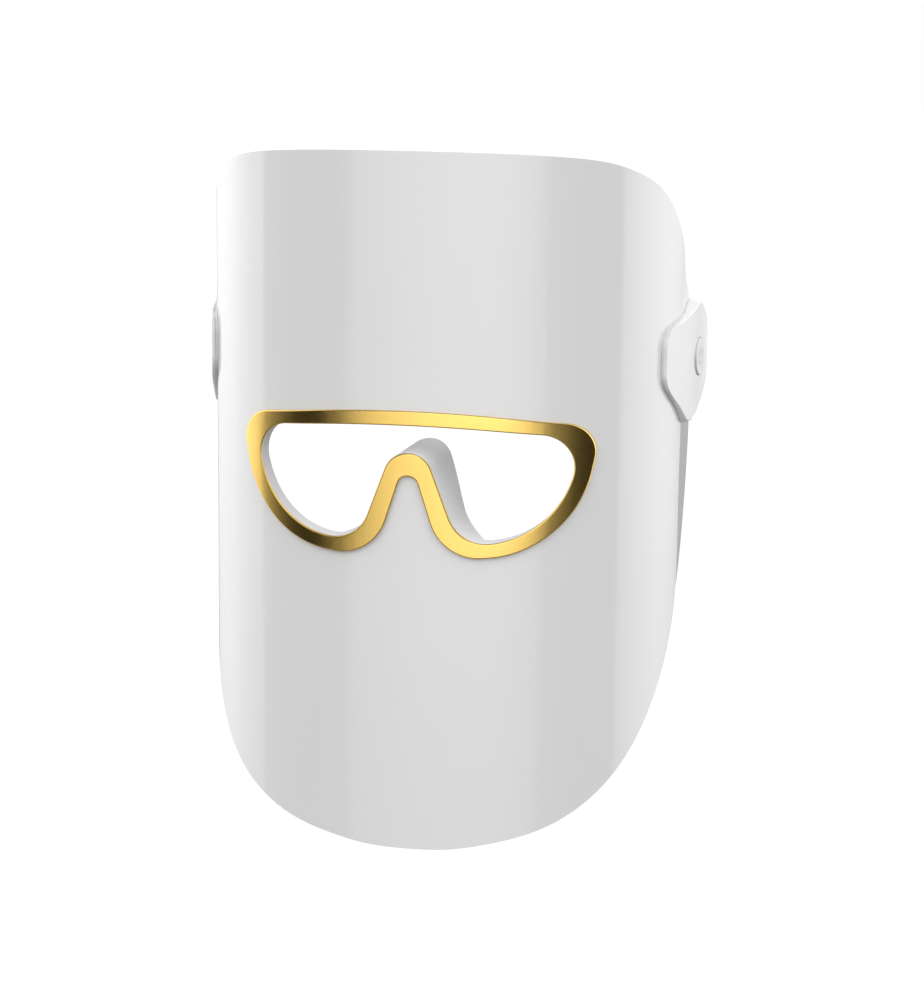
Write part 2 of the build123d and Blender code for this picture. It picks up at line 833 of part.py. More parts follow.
def arm_band(outer, inner):
    """Band along the arm in plan, curving inward behind the hinge."""
    centre = (hinge_x - arm_radius, hinge_place)
    turn = degrees(arm_length / arm_radius)
    far = CenterArc(centre, arm_radius + outer, 0, turn)
    near = CenterArc(centre, arm_radius - inner, 0, turn)
    ends = [Line(far @ 0, near @ 0), Line(far @ 1, near @ 1)]
    return extrude(make_face(Curve() + far + near + ends), amount=brow_height)


def arm_side(inset):
    """Side view of the arm, moved inward by inset, as a prism along X."""
    tip = hinge_place + arm_length
    low = hinge_height - knuckle_height / 2
    high = hinge_height + knuckle_height / 2
    upper = [
        (hinge_place + place * arm_length, arm_tip_high + height * (high - arm_tip_high))
        for place, height in arm_upper_shares
    ]
    lower = [
        (hinge_place + place * arm_length, arm_tip_low + height * (low - arm_tip_low))
        for place, height in arm_lower_shares
    ]
    points = [(hinge_place - overrun, low), (hinge_place - overrun, high)]
    points += upper + [(tip, arm_tip_high), (tip, arm_tip_low)] + lower
    radii = [arm_neck_corner, arm_neck_corner, arm_bend_radius]
    radii += [arm_tip_corner, arm_tip_corner, arm_bend_radius, arm_bend_radius]
    face = make_face(FilletPolyline(*points, radius=radii, close=True))
    if inset:
        face = offset(face, amount=-inset)
    return side_prism(face, 0, half_width + overrun)


def arm_core():
    start = box_between(
        (0, arm_pad_start, 0), (half_width + overrun, hinge_place + arm_length, brow_height))
    return arm_band(arm_core_thickness - arm_inner, arm_inner) & arm_side(arm_core_inset) & start


def arm():
    body = arm_band(arm_outer, arm_inner) & arm_side(0)
    core_room = box_between(
        (0, arm_pad_start - fit_gap, 0), (half_width + overrun, hinge_place + arm_length, brow_height))
    room = arm_band(arm_core_thickness + fit_gap - arm_inner, arm_inner + overrun)
    body -= room & arm_side(arm_core_inset - fit_gap) & core_room
    centre = Pos(hinge_x, hinge_place, hinge_height)
    body += centre * Cylinder(knuckle_radius, knuckle_height)
    return body - centre * Cylinder(pin_diameter / 2 + pin_clearance, 2 * knuckle_height)


def arm_pad():
    start = box_between(
        (0, arm_pad_start - arm_core_inset, 0), (half_width + overrun, hinge_place + 2 * arm_length, brow_height))
    band = arm_band(-arm_inner, arm_inner + arm_pad_thickness)
    return band & arm_side(arm_pad_inset) & start


def flat_list(shape):
    """The solids of a shape or of a list of shapes."""
    if isinstance(shape, list):
        return [solid for item in shape for solid in item.solids()]
    return list(shape.solids())


def save(name, shape):
    solids = flat_list(shape)
    body = solids[0] if len(solids) == 1 else Compound(children=solids)
    export_step(body, "parts/" + name + ".step")


def mirrored(shape):
    return [mirror(solid, about=Plane.YZ) for solid in flat_list(shape)]


save("front_cover", front_cover())
save("eye_trim", eye_trim())
save("eye_tunnel", eye_tunnel())
save("nose_pad", nose_pad())
save("rear_frame", rear_frame())
save("inner_panel", inner_panel())
save("forehead_pad", forehead_pad())
save("frame_screws", frame_screws())

board_sheet_whole = board_sheet(0, 0)
lamp_sheet = board_sheet(lamp_margin, lamp_eye_margin)
for board_name in ("forehead", "cheek_left", "cheek_right", "chin"):
    save("led_board_" + board_name, board_sheet_whole & board_zone(board_name, 0))
    save("leds_" + board_name, lamps(lamp_sheet & board_zone(board_name, lamp_margin)))

save("control_board", control_board())
save("control_chips", control_chips())
save("switch_housing", switch_housing())
save("switch_plunger", switch_plunger())
save("power_button", power_button())
save("usb_socket", usb_socket())
save("battery_cell", mirrored(battery_cell()))
save("battery_foam", mirrored(battery_foam()))
save("pod_cover_left", pod_cover_left())
save("pod_cover_right", mirrored(pod_cover()))

side_pieces = {
    "link_cable": link_cable(),
    "pod_cable": pod_cable(),
    "pod_screws": pod_screws(),
    "hinge_bracket": hinge_bracket(),
    "bracket_screws": bracket_screws(),
    "hinge_pin": hinge_pin(),
    "hinge_washers": hinge_washers(),
    "arm": arm(),
    "arm_core": arm_core(),
    "arm_pad": arm_pad(),
}
for piece_name, piece in side_pieces.items():
    save(piece_name + "_left", piece)
    save(piece_name + "_right", mirrored(piece))
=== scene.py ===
import json
import math

import bmesh
import bpy
import numpy as np
from bpy.props import FloatProperty, FloatVectorProperty, PointerProperty
from mathutils import Matrix, Vector


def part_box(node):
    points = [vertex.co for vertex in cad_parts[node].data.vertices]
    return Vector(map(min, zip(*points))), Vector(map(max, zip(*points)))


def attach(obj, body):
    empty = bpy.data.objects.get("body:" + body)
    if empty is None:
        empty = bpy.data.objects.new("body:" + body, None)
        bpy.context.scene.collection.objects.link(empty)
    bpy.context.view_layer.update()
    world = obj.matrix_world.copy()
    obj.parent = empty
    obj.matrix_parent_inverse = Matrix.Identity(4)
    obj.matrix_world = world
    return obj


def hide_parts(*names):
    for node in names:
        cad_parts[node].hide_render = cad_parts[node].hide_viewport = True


bl_info = {
    "name": "LED face mask",
    "version": (1, 0, 0),
    "blender": (4, 5, 0),
    "location": "View3D > Sidebar > Face mask",
    "description": "Finishes the light therapy face mask: shield, gold trim, pods, arms, pads and lamps",
    "category": "Object",
}

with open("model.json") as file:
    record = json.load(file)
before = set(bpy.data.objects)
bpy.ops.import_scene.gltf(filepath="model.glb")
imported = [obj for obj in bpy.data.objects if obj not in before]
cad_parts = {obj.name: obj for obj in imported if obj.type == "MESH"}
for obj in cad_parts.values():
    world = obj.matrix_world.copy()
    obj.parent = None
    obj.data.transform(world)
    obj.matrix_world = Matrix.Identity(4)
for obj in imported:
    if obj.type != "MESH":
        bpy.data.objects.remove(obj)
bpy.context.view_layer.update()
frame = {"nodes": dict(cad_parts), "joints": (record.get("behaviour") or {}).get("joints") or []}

MM = 0.001

# Corners of a CAD node closer than this are one corner
MERGE = 0.004 * MM
# Smallest share of an outward look that makes a face an outer one, on the trim and on a pod
TRIM_FACING = 0.85
POD_FACING = 0.8
# Middle of the head behind the shield, which the outer faces look away from
HEAD_MIDDLE = 0.04
# Depth within which a pod's outer face lies, and the reach of the hole's edges round the button
POD_FACE_DEPTH = 4 * MM
HOLE_REACH = 9 * MM
# Shares of the rounding on a pod's other edges and round the button's hole
POD_BACK_SHARE = 0.12
HOLE_SHARE = 0.25
# Share of the pitch that a groove of a pad takes, and how full the pads are
GROOVE_SHARE = 0.09
# How squarely the forehead pad's crown ends across and along the pad
ACROSS_POWER = 3
ALONG_POWER = 6
# How steeply, and how far from its ends, the ribs of a temple pad set in
END_SLOPE = 8
END_START = 0.6
# Rounds of smoothing that soften each kind of pad
BROW_ROUNDS = 10
NOSE_ROUNDS = 8
TEMPLE_ROUNDS = 6
# Point inside the head, on its middle plane, that the lamps look toward
LAMP_TARGET = 0.02
# Distance below which two points of a block lie level with each other, or are one point
LEVEL = 0.1 * MM

# Round wall that gloss sees, in metres, and its level low down as a share of the full one
WALL_RADIUS = 1.3
WALL_HEIGHT = 5.0
WALL_LOW = -0.55
WALL_LOW_SHARE = 0.55
# Light of the wall: (degrees from the front toward the wearer's left, level)
WALL_PEAK = 3.0
WALL_LIGHT = (
    (-180, 1.1), (-170, 0.8), (-158, 0.25), (-152, 0.6), (-145, 1.25), (-128, 1.75),
    (-107, 2.5), (-87, 2.4), (-76, 2.0), (-73, 0.6), (-56, 0.1), (-48, 0.03), (-29, 0.03),
    (-26, 1.4), (-19, 1.7), (-12, 2.1), (-3, 2.4), (8, 2.5), (17, 2.25), (26, 1.8), (32, 1.3),
    (34, 0.5), (54, 0.03), (80, 0.03), (84, 1.6), (100, 2.5), (121, 2.5), (147, 1.4),
    (156, 1.0), (167, 1.0), (180, 1.1),
)

# Floor below the mask: its size, level, shade and how much the camera sees it lifted
FLOOR_SIZE = 40.0
FLOOR_LEVEL = -0.62
FLOOR_SHADE = 0.26
FLOOR_LIFT = 0.72

# Soft lights: (name, degrees round the mask, share of the side light), and their angles
LIGHTS = (("left_light", 68, 1.0), ("right_light", -52, 1.0), ("rear_light", 180, 0.6))
LIGHT_TILT = 50
LIGHT_SPREAD = 60

# Camera as solved from the outlines in the photograph
CAMERA_PLACE = (0.2045, -0.9058, 0.1703)
CAMERA_RIGHT = Vector((0.9763, 0.2166, 0.0))
CAMERA_UP = Vector((-0.0404, 0.1819, 0.9825))
CAMERA_BACK = Vector((0.2128, -0.9592, 0.1863))
CAMERA_ROLL = math.radians(0.67)
CAMERA_LENS = 93.77
SENSOR_WIDTH = 36.0
CAMERA_NEAR = 0.05


class MaskSizes(bpy.types.PropertyGroup):
    """Small shapes that the finish adds to the solids, in metres."""

    shell_edge: FloatProperty(
        name="Shell edge", description="Rounding along the rim of the shield",
        default=0.6 * MM, unit="LENGTH")
    trim_edge: FloatProperty(
        name="Trim edge", description="Rounding along both outer edges of the gold trim",
        default=0.5 * MM, unit="LENGTH")
    pod_edge: FloatProperty(
        name="Pod edge", description="Rounding round the face of each temple pod",
        default=0.6 * MM, unit="LENGTH")
    frame_edge: FloatProperty(
        name="Frame edge", description="Rounding on the edges of the rear frame and the tunnel",
        default=0.25 * MM, unit="LENGTH")
    arm_edge: FloatProperty(
        name="Arm edge", description="Rounding along the temple arms",
        default=0.7 * MM, unit="LENGTH")
    metal_edge: FloatProperty(
        name="Metal edge", description="Rounding on the hinge brackets and pins",
        default=0.15 * MM, unit="LENGTH")
    button_edge: FloatProperty(
        name="Button edge", description="Rounding round the cap of the power button",
        default=0.3 * MM, unit="LENGTH")
    socket_edge: FloatProperty(
        name="Socket edge", description="Rounding round the charging socket's shell",
        default=0.12 * MM, unit="LENGTH")
    pad_grain: FloatProperty(
        name="Pad grain", description="Size of the faces that the silicone pads are made of",
        default=0.55 * MM, unit="LENGTH")
    pad_crown: FloatProperty(
        name="Pad crown", description="How far the middle of a pad swells toward the wearer",
        default=0.7 * MM, unit="LENGTH")
    rib_pitch: FloatProperty(
        name="Rib pitch", description="Distance from groove to groove on the pads",
        default=6.0 * MM, unit="LENGTH")
    rib_depth: FloatProperty(
        name="Rib depth", description="Depth of the grooves between the ribs of the pads",
        default=0.45 * MM, unit="LENGTH")
    lamp_side: FloatProperty(
        name="Lamp side", description="Side of a square lamp package",
        default=3.0 * MM, unit="LENGTH")
    lamp_height: FloatProperty(
        name="Lamp height", description="Height of a lamp package above its board",
        default=0.8 * MM, unit="LENGTH")
    screw_head: FloatProperty(
        name="Screw head", description="Diameter of the screw heads",
        default=3.4 * MM, unit="LENGTH")
    screw_head_height: FloatProperty(
        name="Screw head height", description="Height of the screw heads",
        default=0.8 * MM, unit="LENGTH")
    mark_radius: FloatProperty(
        name="Mark radius", description="Radius of the power symbol on the button",
        default=2.7 * MM, unit="LENGTH")
    mark_stroke: FloatProperty(
        name="Mark stroke", description="Width of the power symbol's lines",
        default=0.5 * MM, unit="LENGTH")
    mark_rise: FloatProperty(
        name="Mark rise", description="Height of the power symbol above the button, and below it",
        default=0.06 * MM, unit="LENGTH")


class MaskColours(bpy.types.PropertyGroup):
    """Base colours of the finishes."""

    shell: FloatVectorProperty(
        name="Shell", description="Glossy white plastic of the shield, pods and arms",
        default=(0.80, 0.80, 0.80), size=3, subtype="COLOR", min=0, max=1)
    gold: FloatVectorProperty(
        name="Gold", description="Anodised trim round the eye opening",
        default=(0.66, 0.45, 0.125), size=3, subtype="COLOR", min=0, max=1)
    # Painted shade: the tunnel wall is white, and this grey carries the shade that falls inside the eye
    # opening
    tunnel: FloatVectorProperty(
        name="Tunnel", description="Wall behind the trim",
        default=(0.61, 0.61, 0.62), size=3, subtype="COLOR", min=0, max=1)
    # Painted shade: the rear frame is white, and this dark grey carries the shade on its strip that shows
    # past the shield's rear edge below each pod
    frame: FloatVectorProperty(
        name="Frame", description="Satin plastic of the rear frame",
        default=(0.37, 0.37, 0.375), size=3, subtype="COLOR", min=0, max=1)
    silicone: FloatVectorProperty(
        name="Silicone", description="Soft pads that touch the face",
        default=(0.74, 0.74, 0.75), size=3, subtype="COLOR", min=0, max=1)
    board: FloatVectorProperty(
        name="Lamp board", description="White solder mask of the lamp boards",
        default=(0.82, 0.82, 0.80), size=3, subtype="COLOR", min=0, max=1)
    film: FloatVectorProperty(
        name="Cable film", description="Film of the flat cables",
        default=(0.60, 0.30, 0.06), size=3, subtype="COLOR", min=0, max=1)
    steel: FloatVectorProperty(
        name="Steel", description="Screws, pins and brackets",
        default=(0.62, 0.62, 0.63), size=3, subtype="COLOR", min=0, max=1)


class StudioSettings(bpy.types.PropertyGroup):
    """Light of the studio."""

    ambient: FloatProperty(
        name="Ambient", description="Level of the even light from all round", default=0.5, min=0)
    side_light: FloatProperty(
        name="Side light", description="Level of the soft light from high on each side",
        default=1.6, min=0)
    backdrop: FloatProperty(
        name="Backdrop", description="Level of the background in the picture and in reflections",
        default=1.0, min=0)


def sizes():
    return bpy.context.scene.mask_sizes


def colours():
    return bpy.context.scene.mask_colours


def studio():
    return bpy.context.scene.mask_studio


# Finishes


class Finish:
    """A material whose nodes are added one after the other."""

    def __init__(self, name, roughness, metallic=0.0):
        self.material = bpy.data.materials.new(name)
        self.material.use_nodes = True
        self.tree = self.material.node_tree
        self.shader = self.tree.nodes["Principled BSDF"]
        self.shader.inputs["Roughness"].default_value = roughness
        self.shader.inputs["Metallic"].default_value = metallic

    def node(self, kind, **values):
        made = self.tree.nodes.new(kind)
        for key, value in values.items():
            setattr(made, key, value)
        return made

    def link(self, out_socket, in_socket):
        self.tree.links.new(out_socket, in_socket)

    def place(self, stretch=(1, 1, 1), source="Object"):
        """Object coordinates or the piece's own UV map, stretched."""
        coordinates = self.node("ShaderNodeTexCoord")
        mapping = self.node("ShaderNodeMapping")
        mapping.inputs["Scale"].default_value = stretch
        self.link(coordinates.outputs[source], mapping.inputs["Vector"])
        return mapping.outputs["Vector"]

    def noise(self, scale, detail=3.0, stretch=(1, 1, 1)):
        texture = self.node("ShaderNodeTexNoise")
        texture.inputs["Scale"].default_value = scale
        texture.inputs["Detail"].default_value = detail
        self.link(self.place(stretch), texture.inputs["Vector"])
        return texture.outputs["Fac"]

    def between(self, factor, low, high, start=0.3, end=0.7):
        """A value that runs from low to high as the factor runs from start to end."""
        mapped = self.node("ShaderNodeMapRange")
        for socket, value in zip(("From Min", "From Max", "To Min", "To Max"), (start, end, low, high)):
            mapped.inputs[socket].default_value = value
        self.link(factor, mapped.inputs["Value"])
        return mapped.outputs["Result"]

    def ramp(self, factor, stops):
        """A colour read along stops of (place, colour)."""
        ramp = self.node("ShaderNodeValToRGB")
        elements = ramp.color_ramp.elements
        while len(elements) < len(stops):
            elements.new(0.5)
        for element, (spot, colour) in zip(elements, stops):
            element.position = spot
            element.color = (*colour, 1.0)
        self.link(factor, ramp.inputs["Fac"])
        return ramp.outputs["Color"]

    def mottle(self, colour, share, scale, detail=3.0, stretch=(1, 1, 1)):
        """Base colour that drifts a little darker in patches."""
        dark = [channel * (1 - share) for channel in colour]
        drift = self.noise(scale, detail, stretch)
        self.link(self.ramp(drift, [(0.35, dark), (0.65, colour)]), self.shader.inputs["Base Color"])

    def uneven(self, low, high, scale, detail=2.0, stretch=(1, 1, 1)):
        """Roughness that wanders between two values."""
        drift = self.noise(scale, detail, stretch)
        self.link(self.between(drift, low, high), self.shader.inputs["Roughness"])

    def bump(self, height, depth, strength=1.0):
        relief = self.node("ShaderNodeBump")
        relief.inputs["Distance"].default_value = depth
        relief.inputs["Strength"].default_value = strength
        self.link(height, relief.inputs["Height"])
        self.link(relief.outputs["Normal"], self.shader.inputs["Normal"])

    def set(self, **sockets):
        for name, value in sockets.items():
            self.shader.inputs[name.replace("_", " ")].default_value = value
        return self


def shell_finish():
    """Glossy moulded white plastic under a clear lacquer."""
    shell = Finish("shell_gloss_white", 0.42)
    shell.mottle(colours().shell, 0.012, 9.0)
    shell.uneven(0.38, 0.46, 60.0)
    shell.bump(shell.noise(900.0, 2.0), 0.004 * MM)
    return shell.set(Coat_Weight=1.0, Coat_Roughness=0.02, Coat_IOR=1.55, IOR=1.2).material


def gold_finish():
    """Gold anodised metal with a fine grain."""
    gold = Finish("trim_gold_anodised", 0.2, 1.0)
    grain = (1.0, 1.0, 9.0)
    gold.mottle(colours().gold, 0.05, 420.0, 4.0, grain)
    gold.uneven(0.17, 0.25, 700.0, 3.0, grain)
    gold.bump(gold.noise(1600.0, 2.0, grain), 0.004 * MM)
    return gold.material


def tunnel_finish():
    """Satin plastic, greyed below its white as painted shade for the shade inside the eye opening."""
    tunnel = Finish("tunnel_satin_painted_shade", 0.5)
    tunnel.mottle(colours().tunnel, 0.03, 40.0)
    tunnel.uneven(0.45, 0.56, 300.0)
    tunnel.bump(tunnel.noise(2200.0, 3.0), 0.01 * MM)
    return tunnel.material


def frame_finish():
    """Satin plastic with a spark eroded grain, darkened to grey as painted shade for the shaded strip that
    shows past the shield's rear edge below each pod.
    """
    satin = Finish("frame_satin_painted_shade", 0.45)
    satin.mottle(colours().frame, 0.03, 30.0)
    satin.uneven(0.40, 0.52, 400.0)
    satin.bump(satin.noise(2600.0, 3.0), 0.012 * MM)
    return satin.material


def clear_finish():
    """Clear moulded panel that lets light and sight through."""
    clear = Finish("panel_clear", 0.06)
    clear.mottle((0.93, 0.95, 0.96), 0.02, 40.0)
    clear.uneven(0.05, 0.09, 50.0)
    clear.bump(clear.noise(60.0, 1.0), 0.01 * MM)
    return clear.set(Alpha=0.16, IOR=1.49).material


def silicone_finish():
    """Soft matte silicone."""
    silicone = Finish("silicone_soft", 0.55)
    silicone.mottle(colours().silicone, 0.03, 60.0)
    silicone.uneven(0.5, 0.64, 500.0)
    silicone.bump(silicone.noise(2400.0, 3.0), 0.01 * MM)
    return silicone.set(Subsurface_Weight=0.25, Subsurface_Scale=1.2 * MM, Sheen_Weight=0.15).material


def board_finish():
    """White solder mask with copper tracks under it."""
    board = Finish("board_white_mask", 0.38)
    tracks = board.node("ShaderNodeTexBrick", offset=0.5)
    for socket, value in zip(("Scale", "Mortar Size", "Brick Width", "Row Height"), (160.0, 0.05, 2.0, 1.0)):
        tracks.inputs[socket].default_value = value
    turned = board.node("ShaderNodeMapping")
    turned.inputs["Rotation"].default_value = (math.pi / 2, 0, 0)
    board.link(board.place(), turned.inputs["Vector"])
    board.link(turned.outputs["Vector"], tracks.inputs["Vector"])
    white = list(colours().board)
    track = [channel * shade for channel, shade in zip(white, (0.86, 0.90, 0.86))]
    tint = board.ramp(tracks.outputs["Fac"], [(0.0, white), (1.0, track)])
    board.link(tint, board.shader.inputs["Base Color"])
    board.bump(tracks.outputs["Fac"], 0.02 * MM)
    return board.material


def green_board_finish():
    """Green solder mask with tracks."""
    board = Finish("board_green_mask", 0.35)
    board.mottle((0.02, 0.16, 0.07), 0.25, 500.0, 2.0, (1.0, 1.0, 0.2))
    board.bump(board.noise(900.0, 1.0), 0.02 * MM)
    return board.material


def chip_finish():
    """Moulded black epoxy."""
    chip = Finish("chip_black_epoxy", 0.55)
    chip.mottle((0.03, 0.03, 0.033), 0.2, 800.0)
    chip.bump(chip.noise(3000.0, 3.0), 0.01 * MM)
    return chip.material


def steel_finish(name, low, high, share):
    """Bright steel, turned or brushed."""
    steel = Finish(name, low, 1.0)
    steel.mottle(colours().steel, share, 900.0, 3.0, (1.0, 1.0, 0.1))
    steel.uneven(low, high, 700.0)
    steel.bump(steel.noise(2500.0, 2.0, (1.0, 1.0, 0.1)), 0.001 * MM)
    return steel.material


def film_finish():
    """Polyimide film with copper lines that show through."""
    film = Finish("cable_polyimide", 0.3)
    lines = film.node("ShaderNodeTexWave", bands_direction="Y")
    lines.inputs["Scale"].default_value = 300.0
    film.link(film.place(), lines.inputs["Vector"])
    amber = list(colours().film)
    copper = [0.75, 0.42, 0.16]
    tint = film.ramp(lines.outputs["Fac"], [(0.4, amber), (0.6, copper)])
    film.link(tint, film.shader.inputs["Base Color"])
    film.bump(lines.outputs["Fac"], 0.02 * MM)
    return film.set(Coat_Weight=0.4).material


def foil_finish():
    """Crinkled aluminium pouch."""
    foil = Finish("battery_foil", 0.3, 1.0)
    foil.mottle((0.68, 0.69, 0.70), 0.1, 120.0)
    foil.uneven(0.22, 0.4, 200.0)
    foil.bump(foil.noise(250.0, 3.0), 0.05 * MM)
    return foil.material


def foam_finish():
    """Dark closed cell foam."""
    foam = Finish("foam_dark", 0.9)
    cells = foam.node("ShaderNodeTexVoronoi")
    cells.inputs["Scale"].default_value = 2500.0
    foam.link(foam.place(), cells.inputs["Vector"])
    tint = foam.ramp(cells.outputs["Distance"], [(0.0, (0.02, 0.02, 0.022)), (0.8, (0.06, 0.06, 0.065))])
    foam.link(tint, foam.shader.inputs["Base Color"])
    foam.bump(cells.outputs["Distance"], 0.06 * MM)
    return foam.material


def washer_finish():
    """Natural nylon."""
    nylon = Finish("washer_nylon", 0.4)
    nylon.mottle((0.78, 0.77, 0.72), 0.04, 200.0)
    nylon.bump(nylon.noise(2500.0, 2.0), 0.006 * MM)
    return nylon.set(Subsurface_Weight=0.1, Subsurface_Scale=0.5 * MM).material


def button_finish():
    """Satin white plastic of the push button."""
    button = Finish("button_satin_white", 0.3)
    button.mottle([0.97 * channel for channel in colours().shell], 0.02, 60.0)
    button.uneven(0.27, 0.36, 300.0)
    button.bump(button.noise(2400.0, 2.0), 0.005 * MM)
    return button.set(Coat_Weight=0.3).material


def mark_finish():
    """Grey print of the power symbol."""
    mark = Finish("mark_grey", 0.45)
    mark.mottle((0.60, 0.60, 0.61), 0.06, 600.0)
    mark.bump(mark.noise(2500.0, 2.0), 0.005 * MM)
    return mark.material


def lamp_body_finish():
    """Ivory plastic of the lamp packages."""
    body = Finish("lamp_body_ivory", 0.4)
    body.mottle((0.84, 0.83, 0.78), 0.04, 400.0)
    body.bump(body.noise(2500.0, 2.0), 0.006 * MM)
    return body.material


def lamp_lens_finish():
    """Clear resin over the lamp's phosphor and its two dies."""
    lens = Finish("lamp_lens_resin", 0.12)
    coordinates = lens.place(source="UV")
    dies = lens.node("ShaderNodeTexVoronoi", distance="CHEBYCHEV", voronoi_dimensions="2D")
    dies.inputs["Scale"].default_value = 2.0
    dies.inputs["Randomness"].default_value = 0.0
    lens.link(coordinates, dies.inputs["Vector"])
    die = (0.30, 0.05, 0.04)
    stops = [(0.0, die), (0.13, die), (0.16, (0.78, 0.62, 0.22)), (0.5, (0.86, 0.74, 0.36))]
    lens.link(lens.ramp(dies.outputs["Distance"], stops), lens.shader.inputs["Base Color"])
    lens.bump(lens.noise(1200.0, 1.0), 0.004 * MM)
    return lens.set(Coat_Weight=1.0, Coat_Roughness=0.03).material


# Making


def use(piece):
    """Makes a piece the only selected and active one."""
    bpy.ops.object.select_all(action="DESELECT")
    piece.select_set(True)
    bpy.context.view_layer.objects.active = piece


def paint(piece, *materials):
    piece.data.materials.clear()
    for material in materials:
        piece.data.materials.append(material)


def settle(piece, body, slot, *nodes):
    """Sets a finished piece on its body, in place of the CAD nodes that it stands for."""
    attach(piece, body)
    if nodes:
        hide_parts(*nodes)


def cast_from(node, name, flat_angle=0.4):
    """A piece that starts as a CAD node's shape, its loose triangles joined to faces."""
    piece = bpy.data.objects.new(name, frame["nodes"][node].data.copy())
    piece.data.name = name
    bpy.context.scene.collection.objects.link(piece)
    use(piece)
    bpy.ops.mesh.customdata_custom_splitnormals_clear()
    bpy.ops.object.mode_set(mode="EDIT")
    bpy.ops.mesh.select_all(action="SELECT")
    bpy.ops.mesh.remove_doubles(threshold=MERGE)
    bpy.ops.mesh.dissolve_degenerate(threshold=MERGE)
    bpy.ops.mesh.dissolve_limited(angle_limit=math.radians(flat_angle))
    bpy.ops.object.mode_set(mode="OBJECT")
    return piece


def round_edges(piece, width, segments=3, sharpness=35.0, share=None):
    """Rounds the sharp edges, each by its share of the width, and keeps the large faces flat."""
    use(piece)
    bevel = piece.modifiers.new("rounding", "BEVEL")
    bevel.width = width
    bevel.segments = segments
    bevel.limit_method = "ANGLE"
    bevel.angle_limit = math.radians(sharpness)
    bevel.use_clamp_overlap = share is None
    bevel.loop_slide = share is None
    if share:
        bevel.limit_method = "WEIGHT"
        work = bmesh.new()
        work.from_mesh(piece.data)
        weight = work.edges.layers.float.new("bevel_weight_edge")
        for edge in work.edges:
            sharp = len(edge.link_faces) == 2 and edge.calc_face_angle() > bevel.angle_limit
            edge[weight] = share(edge) if sharp else 0.0
        work.to_mesh(piece.data)
        work.free()
    bpy.ops.object.modifier_apply(modifier=bevel.name)
    bpy.ops.object.shade_smooth_by_angle(angle=math.radians(sharpness))
    weight = piece.modifiers.new("weight", "WEIGHTED_NORMAL")
    weight.keep_sharp = True
    bpy.ops.object.modifier_apply(modifier=weight.name)
    return piece


def outer_share(edge):
    """Full share for the edges of a face that looks away from the middle of the head."""
    for face in edge.link_faces:
        spot = face.calc_center_median()
        away = Vector((spot.x, spot.y - HEAD_MIDDLE, 0)).normalized()
        if face.normal.dot(away) > TRIM_FACING:
            return 1.0
    return 0.0


def islands(node):
    """The separate solids of a CAD node, each as a list of corner points."""
    work = bmesh.new()
    work.from_mesh(frame["nodes"][node].data)
    bmesh.ops.remove_doubles(work, verts=work.verts, dist=0.001 * MM)
    left = dict.fromkeys(work.verts)
    found = []
    while left:
        reached = [left.popitem()[0]]
        for vertex in reached:
            for edge in vertex.link_edges:
                other = edge.other_vert(vertex)
                if other in left:
                    del left[other]
                    reached.append(other)
        found.append([vertex.co.copy() for vertex in reached])
    work.free()
    return sorted(found, key=lambda points: tuple(round(c, 5) for c in middle_of(points)))


def middle_of(points):
    low = Vector(map(min, *points))
    high = Vector(map(max, *points))
    return (low + high) / 2


def lamp_place(points):
    """Place of a lamp block on its board: Z points to the wearer and Y up."""
    first = points[0]
    beside = [point - first for point in points if abs(point.z - first.z) < LEVEL]
    normal = min((way for way in beside if way.length > LEVEL), key=lambda way: way.length).normalized()
    middle = middle_of(points)
    if normal.dot(Vector((0, LAMP_TARGET, middle.z)) - middle) < 0:
        normal = -normal
    up = Vector((0, 0, 1))
    turn = Matrix((up.cross(normal), up, normal)).transposed().to_4x4()
    return Matrix.Translation(middle - normal * sizes().lamp_height / 2) @ turn


def screw_place(points):
    """Seat of a screw's head, and its shank's length: Z points out of the head."""
    spots = np.array(points)
    centre = np.array(middle_of(points))
    axis = np.linalg.eigh(np.cov((spots - centre).T))[1][:, -1]
    along = (spots - centre) @ axis
    across = np.linalg.norm(spots - centre - np.outer(along, axis), axis=1)
    if along[across.argmax()] < 0:
        axis, along = -axis, -along
    head = Vector(axis)
    seat = Vector(centre) + head * (along.max() - sizes().screw_head_height)
    turn = head.to_track_quat("Z", "Y").to_matrix().to_4x4()
    return Matrix.Translation(seat) @ turn, along.max() - along.min() - sizes().screw_head_height


def stamp(model, places, name):
    """Copies a model to every place and joins the copies to one piece."""
    copies = []
    for place in places:
        copy = bpy.data.objects.new(name, model.data.copy())
        copy.data.transform(place)
        bpy.context.scene.collection.objects.link(copy)
        copies.append(copy)
    use(copies[0])
    for copy in copies:
        copy.select_set(True)
    bpy.ops.object.join()
    piece = bpy.context.object
    piece.name = name
    return piece


def discard(*pieces):
    for piece in pieces:
        bpy.data.objects.remove(piece)


def pick(piece, test):
    """Selects the faces of the piece in edit mode that pass a test."""
    bpy.ops.mesh.select_all(action="DESELECT")
    work = bmesh.from_edit_mesh(piece.data)
    for face in work.faces:
        face.select_set(test(face))
    bmesh.update_edit_mesh(piece.data)


def soften(piece, voxel, rounds):
    """Turns a hard block into one soft closed skin."""
    use(piece)
    remesh = piece.modifiers.new("skin", "REMESH")
    remesh.mode = "VOXEL"
    remesh.voxel_size = voxel
    bpy.ops.object.modifier_apply(modifier=remesh.name)
    bpy.ops.object.mode_set(mode="EDIT")
    bpy.ops.mesh.select_all(action="SELECT")
    bpy.ops.mesh.vertices_smooth(factor=0.5, repeat=rounds)
    bpy.ops.object.mode_set(mode="OBJECT")
    bpy.ops.object.shade_smooth()


def swell(piece, height):
    """Moves each point of a soft piece along its normal by what height says."""
    moved = [vertex.co + vertex.normal * height(vertex.co, vertex.normal) for vertex in piece.data.vertices]
    for vertex, spot in zip(piece.data.vertices, moved):
        vertex.co = spot
    piece.data.update()


